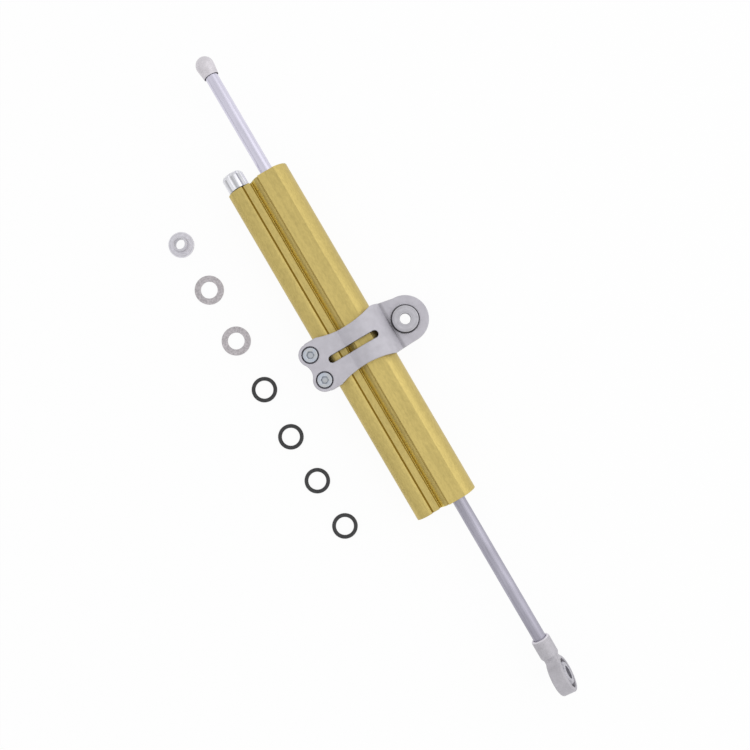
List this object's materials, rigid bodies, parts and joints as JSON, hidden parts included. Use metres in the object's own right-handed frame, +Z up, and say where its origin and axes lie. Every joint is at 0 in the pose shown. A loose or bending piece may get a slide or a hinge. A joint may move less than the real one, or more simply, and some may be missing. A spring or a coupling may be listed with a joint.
{
  "type": "motorcycle steering damper",
  "caption": "Through-rod hydraulic steering damper: gold twin-tube barrel, click knob, sliding clamp with swivel ear, rod end with ball eye, and a loose fitting kit.",
  "frame": {"origin": "centre of the rod end's ball", "axes": "+X along the rod from the ball cap to the eye, +Y from the valve tube towards the clamp's ear, +Z up"},
  "size_m": [0.4383, 0.1185, 0.036],
  "materials": {
    "gold_anodised": "gold anodised, satin",
    "turned_aluminium": "turned",
    "knob_aluminium": "bright anodised",
    "clamp_aluminium": "fine blasted and anodised",
    "bush_aluminium": "turned, satin",
    "rod_chrome": "hard chromed and polished",
    "ball_chrome": "polished",
    "cast_metal": "tumbled casting",
    "zinc_steel": "zinc plated",
    "plain_steel": "plain",
    "dark_steel": "dark phosphated",
    "bronze": "plain bearing bronze",
    "seal_rubber": "matt black"
  },
  "bodies": {
    "body": {"barrel": "gold_anodised", "front_head": "turned_aluminium", "rear_head": "turned_aluminium", "guide_bushes": "bronze", "rod_seals": "seal_rubber", "rod_wipers": "seal_rubber", "head_o_rings": "seal_rubber", "head_circlips": "dark_steel", "adjuster_gland": "turned_aluminium", "gland_o_ring": "seal_rubber", "knob_seal": "seal_rubber", "detent_ball": "ball_chrome", "detent_spring": "plain_steel", "needle_seat": "bronze", "reservoir_plug": "turned_aluminium", "plug_o_ring": "seal_rubber", "reservoir_spring": "plain_steel", "spare_bush": "bush_aluminium", "spare_washers": "plain_steel", "spare_o_rings": "seal_rubber"},
    "piston": {"piston": "turned_aluminium", "piston_band": "bronze"},
    "rod": {"piston_rod": "rod_chrome", "piston_clips": "dark_steel", "end_cap": "turned_aluminium", "rod_end": "cast_metal", "rod_end_race": "dark_steel"},
    "rod_end_ball": {"rod_end_ball": "ball_chrome"},
    "knob": {"adjuster_knob": "knob_aluminium", "adjuster_spindle": "plain_steel", "knob_screw": "dark_steel"},
    "needle": {"needle": "plain_steel"},
    "separator": {"separator": "turned_aluminium", "separator_o_ring": "seal_rubber"},
    "clamp": {"clamp_upper": "clamp_aluminium", "clamp_lower": "clamp_aluminium", "clamp_bolts": "zinc_steel", "ear_race": "bronze", "ear_seals": "seal_rubber"},
    "ear_ball": {"ear_ball": "ball_chrome"},
    "ear_bush": {"ear_bush": "bush_aluminium"}
  },
  "joints": [
    {"name": "rod_stroke", "type": "slide", "parent": "body", "child": "piston", "axis": [1, 0, 0], "range_m": [-0.09, 0.06]},
    {"name": "rod_spin", "type": "hinge", "parent": "piston", "child": "rod", "pos_m": [0, 0, 0], "axis": [1, 0, 0], "continuous": true},
    {"name": "rod_ball_tilt", "type": "hinge", "parent": "rod", "child": "rod_end_ball", "pos_m": [0, 0, 0], "axis": [0, -0.2588, 0.9659], "range_deg": [-13, 13]},
    {"name": "clamp_shift", "type": "slide", "parent": "body", "child": "clamp", "axis": [1, 0, 0], "range_m": [-0.095, 0.088]},
    {"name": "ear_ball_tilt", "type": "hinge", "parent": "clamp", "child": "ear_ball", "pos_m": [-0.2307, 0.0266, 0], "axis": [1, 0, 0], "range_deg": [-8, 8]},
    {"name": "ear_bush_spin", "type": "hinge", "parent": "ear_ball", "child": "ear_bush", "pos_m": [-0.2307, 0.0266, 0], "axis": [0, 0, 1], "continuous": true},
    {"name": "knob_turn", "type": "hinge", "parent": "body", "child": "knob", "pos_m": [-0.3465, -0.0194, 0], "axis": [1, 0, 0], "range_deg": [-170, 170]},
    {"name": "needle_feed", "type": "slide", "parent": "body", "child": "needle", "axis": [1, 0, 0], "range_m": [-0.000377, 0.000377]},
    {"name": "separator_shift", "type": "slide", "parent": "body", "child": "separator", "axis": [1, 0, 0], "range_m": [-0.002, 0.004], "stiffness_N_per_m": 2000, "deforming": ["reservoir_spring"]}
  ],
  "couplings": [
    {"joint": "knob_turn", "follows": "needle_feed", "rad_per_m": 7854}
  ]
}
